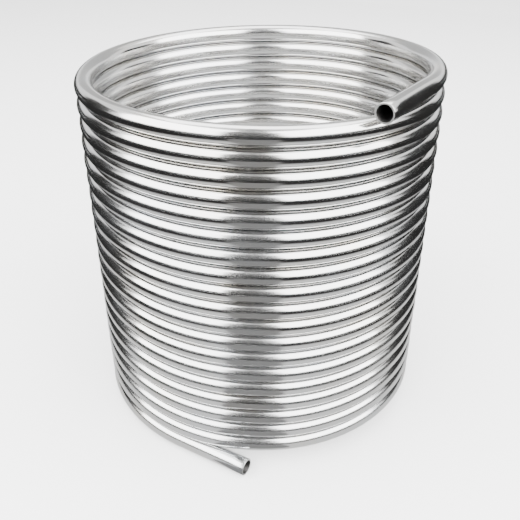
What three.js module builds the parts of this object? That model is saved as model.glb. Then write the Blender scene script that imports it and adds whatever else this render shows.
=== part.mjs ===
// Close-wound cooling coil bent from one length of stainless tube. Millimetres, +Z up, coil axis on Z.
import * as THREE from "three";

const TUBE_OD = 9.525; // 3/8 in tube
const WALL = 1.0;
const TURN_GAP = 0.375; // clear space between one turn and the next
const COIL_OD = 197;
const WOUND_ANGLE = THREE.MathUtils.degToRad(19 * 360 + 274); // tail's tangent point to stub's
const RUN_OUT = 45; // straight length at each cut end

const OUTER_SIDES = 8;
const BORE_SIDES = 6;
const STEPS_PER_TURN = 18;

const tubeRadius = TUBE_OD / 2;
const boreRadius = tubeRadius - WALL;
const windRadius = COIL_OD / 2 - tubeRadius;
const pitch = TUBE_OD + TURN_GAP;
const plannedLength = windRadius * WOUND_ANGLE + 2 * RUN_OUT;

// Centre line of the tube, from the tail's cut end at the bottom up to the stub's at the top.
// The tail runs level along +X and leaves the winding on the -Y side; the winding is left-handed.
class CoilPath extends THREE.Curve {
  getPoint(t, target = new THREE.Vector3()) {
    const travelled = t * plannedLength;
    const angle = THREE.MathUtils.clamp((travelled - RUN_OUT) / windRadius, 0, WOUND_ANGLE);
    const straight = travelled - RUN_OUT - angle * windRadius; // negative in the tail
    return target.set(
      -windRadius * Math.sin(angle) - straight * Math.cos(angle),
      -windRadius * Math.cos(angle) + straight * Math.sin(angle),
      tubeRadius + (pitch * angle) / (2 * Math.PI),
    );
  }
}

// Regular polygon about the origin, as the outline of a round section.
function ring(radius, sides) {
  const corners = [];
  for (let i = 0; i < sides; i += 1) {
    const a = ((i + 0.5) / sides) * 2 * Math.PI;
    corners.push(new THREE.Vector2(radius * Math.cos(a), radius * Math.sin(a)));
  }
  return corners;
}

const section = new THREE.Shape(ring(tubeRadius, OUTER_SIDES));
section.holes.push(new THREE.Path(ring(boreRadius, BORE_SIDES)));

const path = new CoilPath();
const steps = Math.round((plannedLength / (2 * Math.PI * windRadius)) * STEPS_PER_TURN);
path.arcLengthDivisions = steps * 20;

const geometry = new THREE.ExtrudeGeometry(section, { steps, extrudePath: path, bevelEnabled: false });
geometry.computeBoundingBox();
geometry.translate(0, 0, -geometry.boundingBox.min.z);

const stainless = new THREE.MeshStandardMaterial({ color: 0xc9cbcc, metalness: 1, roughness: 0.2 });
const tube = new THREE.Mesh(geometry, stainless);
tube.name = "coil_tube";

const coil = new THREE.Group();
coil.name = "wort_chiller_coil";
coil.add(tube);

export default coil;
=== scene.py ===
"""Close-wound stainless cooling coil on a pale studio floor. Metres, +Z up, coil axis on Z."""

import math

import bpy
import numpy as np
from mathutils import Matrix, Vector


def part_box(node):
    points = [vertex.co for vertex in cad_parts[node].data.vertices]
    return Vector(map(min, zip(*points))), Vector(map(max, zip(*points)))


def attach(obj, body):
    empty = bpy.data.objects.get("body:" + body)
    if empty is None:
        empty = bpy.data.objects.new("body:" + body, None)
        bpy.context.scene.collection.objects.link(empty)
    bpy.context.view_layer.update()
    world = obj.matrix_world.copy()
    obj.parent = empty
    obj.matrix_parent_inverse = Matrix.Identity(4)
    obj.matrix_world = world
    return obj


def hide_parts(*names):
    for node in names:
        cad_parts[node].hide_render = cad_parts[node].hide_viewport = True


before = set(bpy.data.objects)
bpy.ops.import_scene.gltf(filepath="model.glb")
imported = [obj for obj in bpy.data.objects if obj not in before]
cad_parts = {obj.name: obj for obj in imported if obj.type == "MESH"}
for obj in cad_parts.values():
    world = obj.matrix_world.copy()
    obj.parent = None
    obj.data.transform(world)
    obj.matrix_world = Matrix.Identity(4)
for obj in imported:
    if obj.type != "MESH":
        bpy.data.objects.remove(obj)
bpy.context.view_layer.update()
low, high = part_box("coil_tube")

TAU = 2 * math.pi

# ---------------------------------------------------------------- sizes

TUBE_OD = 0.009525  # 3/8 in tube
WALL = 0.001
WOUND_ANGLE = math.radians(19 * 360 + 274)  # tail's tangent point to stub's
RUN_OUT = 0.045  # straight length at each cut end

CLEAR = 0.00004  # kept between the tube and the frame's box
RADIUS_SWAY = 0.00022  # how far a hand-wound turn strays in or out from a true circle
PITCH_SWAY = 0.00008  # and up or down
SWAY_RATES = (0.31, 0.73, 1.19, 2.07, 3.11)  # waves per turn
SWAY_FADE = TAU / 3  # the stray dies away over this angle at each end of the winding

SIDES = 32
BORE_SIDES = 16  # divides SIDES, so that the cut faces join both rings
STEPS_PER_TURN = 96
BORE_STEPS_PER_TURN = 48
RUN_OUT_STEPS = 6
RIM = 0.00018  # broken edge round each cut face
RIM_ROUNDING = 0.3  # share of RIM still cut away halfway along the broken edge

CAMERA_AT = Vector((0.1784, -0.3109, 0.2862))
CAMERA_PITCH = math.radians(30.32)
CAMERA_LENS = 45.5

tube_radius = TUBE_OD / 2
bore_radius = tube_radius - WALL
outer_radius = min(high.x, high.y, -low.x, -low.y) - CLEAR
wind_radius = outer_radius - tube_radius - RADIUS_SWAY
bottom_z = low.z + tube_radius + CLEAR
pitch = (high.z - low.z - TUBE_OD - 2 * CLEAR) * TAU / WOUND_ANGLE

# ---------------------------------------------------------------- camera

camera = bpy.data.objects.new("camera", bpy.data.cameras.new("camera"))
bpy.context.scene.collection.objects.link(camera)
bpy.context.scene.camera = camera
camera.data.lens = CAMERA_LENS
camera.data.sensor_width = 36
camera.data.clip_start = 0.01
camera.data.clip_end = 50
camera.location = CAMERA_AT
aim = Vector((-CAMERA_AT.x, -CAMERA_AT.y, 0)).normalized() * math.cos(CAMERA_PITCH)
aim.z = -math.sin(CAMERA_PITCH)
camera.rotation_mode = "QUATERNION"
camera.rotation_quaternion = aim.to_track_quat("-Z", "Y")


# ---------------------------------------------------------------- tube

rng = np.random.default_rng(19)
sway_waves = [(rate, rng.uniform(0, TAU), rng.uniform(0, TAU)) for rate in SWAY_RATES]


def sway(angle):
    """Stray of the winding, outward and upward, each between -1 and 1 and nothing at its ends."""
    fade = np.clip(np.minimum(angle, WOUND_ANGLE - angle) / SWAY_FADE, 0, 1)
    fade = fade * fade * (3 - 2 * fade)
    out = sum(np.sin(rate * angle + phase) for rate, phase, _ in sway_waves) / len(sway_waves)
    up = sum(np.sin(rate * angle + phase) for rate, _, phase in sway_waves) / len(sway_waves)
    return out * fade, up * fade


def stations(steps_per_turn, run_out_steps):
    """Lengths along the centre line, from the tail's cut end to the stub's, where rings go."""
    wound = wind_radius * WOUND_ANGLE
    turns = WOUND_ANGLE / TAU
    tail = np.linspace(0, RUN_OUT, run_out_steps, endpoint=False)
    coil = np.linspace(RUN_OUT, RUN_OUT + wound, round(turns * steps_per_turn), endpoint=False)
    stub = np.linspace(RUN_OUT + wound, 2 * RUN_OUT + wound, run_out_steps + 1)
    return np.concatenate([tail, coil, stub])


def centre_line(travelled):
    """Points at these lengths, with the two unit directions across the tube at each.

    The winding is left-handed: seen from above, it climbs as it turns clockwise.
    """
    angle = np.clip((travelled - RUN_OUT) / wind_radius, 0, WOUND_ANGLE)
    straight = travelled - RUN_OUT - angle * wind_radius
    out, up = sway(angle)
    radius = wind_radius + out * RADIUS_SWAY
    points = np.stack(
        [
            -radius * np.sin(angle) - straight * np.cos(angle),
            -radius * np.cos(angle) + straight * np.sin(angle),
            bottom_z + pitch * angle / TAU + up * PITCH_SWAY,
        ],
        axis=1,
    )
    tangent = np.gradient(points, travelled, axis=0)
    tangent /= np.linalg.norm(tangent, axis=1, keepdims=True)
    outward = np.stack([-np.sin(angle), -np.cos(angle), np.zeros_like(angle)], axis=1)
    outward -= tangent * np.sum(outward * tangent, axis=1, keepdims=True)
    outward /= np.linalg.norm(outward, axis=1, keepdims=True)
    return points, outward, np.cross(tangent, outward)


def sweep(travelled, radii, sides):
    """Rings of vertices about the centre line, one ring per length, with one radius per ring."""
    points, outward, binormal = centre_line(travelled)
    around = np.linspace(0, TAU, sides, endpoint=False)
    spokes = (
        outward[:, None, :] * np.cos(around)[None, :, None]
        + binormal[:, None, :] * np.sin(around)[None, :, None]
    )
    return points[:, None, :] + spokes * radii[:, None, None]


def wall_faces(lengths, sides, first, inward):
    """Faces of one wall and their corners' UVs. Its rings of vertices start at number first."""
    faces, uvs = [], []
    for ring in range(len(lengths) - 1):
        here, there = first + ring * sides, first + (ring + 1) * sides
        v_here, v_there = lengths[ring], lengths[ring + 1]
        for side in range(sides):
            left, right = side, (side + 1) % sides
            u_left, u_right = side / sides, (side + 1) / sides
            if inward:
                left, right, u_left, u_right = right, left, u_right, u_left
            faces.append((here + left, here + right, there + right, there + left))
            uvs.extend([(u_left, v_here), (u_right, v_here), (u_right, v_there), (u_left, v_there)])
    return faces, uvs


def cut_faces(first_outside, first_bore, far_end):
    """Flat ring of faces between the outside's and the bore's last vertices at one end."""
    per = SIDES // BORE_SIDES
    faces = []
    for side in range(BORE_SIDES):
        loop = [first_outside + (side * per + k) % SIDES for k in range(per + 1)]
        loop += [first_bore + (side + 1) % BORE_SIDES, first_bore + side]
        faces.append(tuple(loop if far_end else reversed(loop)))
    return faces


def make_tube():
    """One closed mesh: outside wall, bore, and a flat cut face with broken edges at each end."""
    length = 2 * RUN_OUT + wind_radius * WOUND_ANGLE
    outside = stations(STEPS_PER_TURN, RUN_OUT_STEPS)
    outside = np.concatenate([[0, RIM / 2, RIM], outside[1:-1], [length - RIM, length - RIM / 2, length]])
    outside_radii = np.full(len(outside), tube_radius)
    outside_radii[[0, -1]] -= RIM
    outside_radii[[1, -2]] -= RIM * RIM_ROUNDING
    bore = stations(BORE_STEPS_PER_TURN, RUN_OUT_STEPS)
    bore = np.concatenate([[0, RIM], bore[1:-1], [length - RIM, length]])
    bore_radii = np.full(len(bore), bore_radius)
    bore_radii[[0, -1]] += RIM

    wall = sweep(outside, outside_radii, SIDES).reshape(-1, 3)
    hole = sweep(bore, bore_radii, BORE_SIDES).reshape(-1, 3)
    total = len(wall) + len(hole)
    wall_quads, wall_uvs = wall_faces(outside, SIDES, 0, False)
    hole_quads, hole_uvs = wall_faces(bore, BORE_SIDES, len(wall), True)
    cuts = cut_faces(0, len(wall), False) + cut_faces(len(wall) - SIDES, total - BORE_SIDES, True)
    uvs = wall_uvs + hole_uvs + [(0.0, 0.0)] * sum(len(face) for face in cuts)
    # material slots: 0 outside, 1 bore, 2 cut faces
    kinds = [0] * len(wall_quads) + [1] * len(hole_quads) + [2] * len(cuts)

    mesh = bpy.data.meshes.new("coil_tube_skin")
    mesh.from_pydata(np.concatenate([wall, hole]).tolist(), [], wall_quads + hole_quads + cuts)
    layer = mesh.uv_layers.new(name="tube")
    layer.data.foreach_set("uv", np.array(uvs, np.float32).ravel())
    mesh.polygons.foreach_set("material_index", kinds)
    mesh.polygons.foreach_set("use_smooth", [kind != 2 for kind in kinds])
    mesh.validate()
    mesh.update()
    piece = bpy.data.objects.new("stainless_coil", mesh)
    bpy.context.scene.collection.objects.link(piece)
    return piece


# ---------------------------------------------------------------- materials

NOISE_LOW, NOISE_HIGH = 0.3, 0.7  # most of a noise texture lies between these


class Nodes:
    """A material with a Principled shader and short calls for adding nodes to it."""

    def __init__(self, name):
        self.material = bpy.data.materials.new(name)
        self.material.use_nodes = True
        self.tree = self.material.node_tree
        self.shader = self.tree.nodes["Principled BSDF"]

    def add(self, kind, inputs=None, **settings):
        node = self.tree.nodes.new(kind)
        for key, value in settings.items():
            setattr(node, key, value)
        for key, value in (inputs or {}).items():
            if isinstance(value, bpy.types.NodeSocket):
                self.tree.links.new(value, node.inputs[key])
            else:
                node.inputs[key].default_value = value
        return node

    def link(self, socket, name):
        """Feeds socket to the shader's input of this name."""
        self.tree.links.new(socket, self.shader.inputs[name])

    def ramp(self, socket, stops):
        """Colour for each value of socket, from stops of (value, colour)."""
        node = self.add("ShaderNodeValToRGB", {"Fac": socket})
        ramp = node.color_ramp
        while len(ramp.elements) < len(stops):
            ramp.elements.new(0.5)
        for element, (place, value) in zip(ramp.elements, stops):
            element.position = place
            element.color = (*value, 1)
        return node.outputs["Color"]

    def spread(self, socket, low_value, high_value):
        """Noise from socket, spread out between these two values."""
        inputs = {
            "Value": socket,
            "From Min": NOISE_LOW,
            "From Max": NOISE_HIGH,
            "To Min": low_value,
            "To Max": high_value,
        }
        return self.add("ShaderNodeMapRange", inputs).outputs["Result"]

    def noise(self, vector, scale, detail, roughness):
        inputs = {"Vector": vector, "Scale": scale, "Detail": detail, "Roughness": roughness}
        return self.add("ShaderNodeTexNoise", inputs).outputs["Fac"]


def drawn_steel():
    """Polished outside of the tube: lengthwise draw lines, fine scuffs and a faint change of tone."""
    m = Nodes("drawn_stainless")
    place = m.add("ShaderNodeTexCoord").outputs["Object"]
    uv = m.add("ShaderNodeUVMap", uv_map="tube").outputs["UV"]
    along = m.add("ShaderNodeMapping", {"Vector": uv, "Scale": (60.0, 9.0, 1.0)}).outputs["Vector"]
    lines = m.noise(along, scale=2.0, detail=3.0, roughness=0.6)
    blotch = m.noise(place, scale=28.0, detail=3.0, roughness=0.55)
    scuffs = m.noise(place, scale=420.0, detail=4.0, roughness=0.65)

    warm, plain_tone, cool = (0.66, 0.645, 0.615), (0.645, 0.645, 0.64), (0.62, 0.63, 0.64)
    m.link(m.ramp(blotch, [(0.30, warm), (0.52, plain_tone), (0.75, cool)]), "Base Color")
    rough = m.add(
        "ShaderNodeMath",
        {0: m.spread(blotch, 0.13, 0.20), 1: m.spread(lines, -0.02, 0.03)},
        operation="ADD",
    ).outputs["Value"]
    m.link(rough, "Roughness")
    height = m.add("ShaderNodeMath", {0: lines, 1: scuffs}, operation="ADD").outputs["Value"]
    bump = m.add("ShaderNodeBump", {"Height": height, "Strength": 0.012, "Distance": 0.0002})
    m.link(bump.outputs["Normal"], "Normal")
    m.shader.inputs["Metallic"].default_value = 1.0
    return m.material


def bore_steel():
    """Inside of the tube: dull, as drawn, and nearly black with painted shade."""
    m = Nodes("bore_stainless_painted_shade")
    place = m.add("ShaderNodeTexCoord").outputs["Object"]
    patch = m.noise(place, scale=300.0, detail=3.0, roughness=0.6)
    # painted shade: the bore's colour is kept near black, as the hollow looks in shade
    m.link(m.ramp(patch, [(0.3, (0.045, 0.043, 0.042)), (0.7, (0.085, 0.083, 0.081))]), "Base Color")
    m.link(m.spread(patch, 0.42, 0.58), "Roughness")
    m.shader.inputs["Metallic"].default_value = 1.0
    return m.material


def cut_steel():
    """Sawn and deburred face at each end of the tube."""
    m = Nodes("cut_stainless")
    place = m.add("ShaderNodeTexCoord").outputs["Object"]
    grain = m.noise(place, scale=2600.0, detail=3.0, roughness=0.6)
    m.link(m.ramp(grain, [(0.3, (0.70, 0.70, 0.69)), (0.7, (0.86, 0.86, 0.85))]), "Base Color")
    m.link(m.spread(grain, 0.26, 0.42), "Roughness")
    bump = m.add("ShaderNodeBump", {"Height": grain, "Strength": 0.15, "Distance": 0.0001})
    m.link(bump.outputs["Normal"], "Normal")
    m.shader.inputs["Metallic"].default_value = 1.0
    return m.material


coil = make_tube()
for finish in (drawn_steel(), bore_steel(), cut_steel()):
    coil.data.materials.append(finish)
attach(coil, "root")
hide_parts("coil_tube")

# ---------------------------------------------------------------- studio

FLOOR_SIDE, TABLE_SIDE = 12, 2.8
FLOOR_DROP = 0.0002  # below the coil's foot
TABLE_DROP = 0.0001  # below it too, but above the floor
SHADE_RISE = 0.0001  # above the coil's foot, so above the table's glow
TABLE_NEAR, TABLE_FAR = (0.17, 1.35), (0.34, 0.03)  # radius, radiance
SHADE_BEARINGS, SHADE_RADII, SHADE_RADIANCE = (-17, 11), (0.104, 0.60), 0.40
PATCH_ACROSS, PATCH_UP = 12, 8  # faces in a dome patch

camera_bearing = math.atan2(CAMERA_AT.x, -CAMERA_AT.y)  # 0 looks along +Y
middle = Vector((0, 0, (low.z + high.z) / 2))


def toward(bearing):
    """Unit level vector from the coil's axis, its bearing counted in degrees from the camera's."""
    a = camera_bearing + math.radians(bearing)
    return Vector((math.sin(a), -math.cos(a), 0))


def staged(name, points, faces, material):
    """A mesh that belongs to the studio and not to the object."""
    mesh = bpy.data.meshes.new(name)
    mesh.from_pydata(points, [], faces)
    mesh.materials.append(material)
    obj = bpy.data.objects.new(name, mesh)
    bpy.context.scene.collection.objects.link(obj)
    return obj


def reflection_only(obj):
    """Leaves obj to be seen in the steel alone: no picture of its own, no shadow, no light on the floor."""
    obj.visible_camera = False
    obj.visible_shadow = False
    obj.visible_diffuse = False


def panel(name, side, z, material):
    """Level square centred on the coil's axis."""
    h = side / 2
    obj = staged(name, [(-h, -h, 0), (h, -h, 0), (h, h, 0), (-h, h, 0)], [(0, 1, 2, 3)], material)
    obj.location.z = z
    return obj


def floor_paper():
    m = Nodes("floor_paper")
    m.shader.inputs["Base Color"].default_value = (0.86, 0.86, 0.86, 1)
    m.shader.inputs["Roughness"].default_value = 0.75
    return m.material


def emitter(name, radiance=0.0):
    """Nodes of a black material that only gives off white light."""
    m = Nodes(name)
    m.shader.inputs["Base Color"].default_value = (0, 0, 0, 1)
    m.shader.inputs["Specular IOR Level"].default_value = 0
    m.shader.inputs["Emission Color"].default_value = (1, 1, 1, 1)
    m.shader.inputs["Emission Strength"].default_value = radiance
    return m


def painted_table_reflection():
    """Painted reflection of the table, seen in the steel alone: a painted pool of light round the coil's
    foot and painted dark further out, as a small white table in a dark room.
    """
    m = emitter("painted_table_reflection")
    place = m.add("ShaderNodeTexCoord").outputs["Object"]
    away = m.add("ShaderNodeVectorMath", {0: place}, operation="LENGTH").outputs["Value"]
    inputs = {
        "Value": away,
        "From Min": TABLE_NEAR[0],
        "From Max": TABLE_FAR[0],
        "To Min": TABLE_NEAR[1],
        "To Max": TABLE_FAR[1],
    }
    fade = m.add("ShaderNodeMapRange", inputs, interpolation_type="SMOOTHSTEP")
    m.link(fade.outputs["Result"], "Emission Strength")
    return m.material


def dome_patch(name, bearings, elevations, radius, radiance):
    """Part of a sphere round the coil, between two bearings from the camera's and two elevations."""
    points = []
    for j in range(PATCH_UP + 1):
        e = math.radians(elevations[0] + (elevations[1] - elevations[0]) * j / PATCH_UP)
        for i in range(PATCH_ACROSS + 1):
            out = toward(bearings[0] + (bearings[1] - bearings[0]) * i / PATCH_ACROSS) * math.cos(e)
            points.append(middle + radius * Vector((out.x, out.y, math.sin(e))))
    row = PATCH_ACROSS + 1
    faces = [
        (j * row + i, j * row + i + 1, (j + 1) * row + i + 1, (j + 1) * row + i)
        for j in range(PATCH_UP)
        for i in range(PATCH_ACROSS)
    ]
    reflection_only(staged(name, points, faces, emitter(name, radiance).material))


def table_shade():
    """Darker fan on the table in front of the coil, under the dark front card."""
    rays = [toward(bearing) for bearing in range(SHADE_BEARINGS[0], SHADE_BEARINGS[1] + 1)]
    points = [(ray.x * radius, ray.y * radius, low.z + SHADE_RISE) for radius in SHADE_RADII for ray in rays]
    n = len(rays)
    faces = [(i, n + i, n + i + 1, i + 1) for i in range(n - 1)]
    reflection_only(staged("table_shade", points, faces, emitter("table_shade", SHADE_RADIANCE).material))


panel("floor", FLOOR_SIDE, low.z - FLOOR_DROP, floor_paper())

PATCHES = (  # name, bearings and elevations in degrees, radius, radiance
    ("card_front", (-21, 13), (5, 50), 0.75, 0.05),
    ("card_front_high", (-17, 10), (50, 86), 0.76, 0.50),
    ("card_left", (-120, -91), (-6, 34), 0.80, 0.03),
    ("card_right", (91, 124), (-6, 29), 0.80, 0.03),
    ("card_low", (-180, 180), (-3, 8), 1.30, 0.04),
    ("card_back", (140, 220), (17, 42), 1.20, 0.85),
)
for patch in PATCHES:
    dome_patch(*patch)

# painted reflection of a lit table under the coil: a glowing sheet seen in the steel alone
reflection_only(panel("table_reflection", TABLE_SIDE, low.z - TABLE_DROP, painted_table_reflection()))
table_shade()

LIGHTS = (  # name, bearing, distance, height, size, radiance
    ("soft_left", -52, 1.05, 0.95, (1.75, 1.35), 9.0),
    ("soft_right", 49, 1.05, 0.95, (1.75, 1.35), 9.0),
    ("soft_top", 175, 0.35, 1.30, (1.3, 0.8), 5.0),
    ("floor_fill", 0, 0.01, 3.00, (5.0, 5.0), 2.2),
)
for name, bearing, distance, z, size, radiance in LIGHTS:
    data = bpy.data.lights.new(name, "AREA")
    data.shape = "RECTANGLE"
    data.size, data.size_y = size
    data.energy = radiance * math.pi * size[0] * size[1]
    lamp = bpy.data.objects.new(name, data)
    bpy.context.scene.collection.objects.link(lamp)
    lamp.location = toward(bearing) * distance
    lamp.location.z = z
    lamp.rotation_mode = "QUATERNION"
    lamp.rotation_quaternion = (lamp.location - middle).to_track_quat("Z", "Y")
    lamp.visible_camera = False
    lamp.visible_glossy = name != "floor_fill"

world = bpy.data.worlds.new("studio")
bpy.context.scene.world = world
world.use_nodes = True
world.node_tree.nodes["Background"].inputs["Color"].default_value = (1, 1, 1, 1)
world.node_tree.nodes["Background"].inputs["Strength"].default_value = 1.8
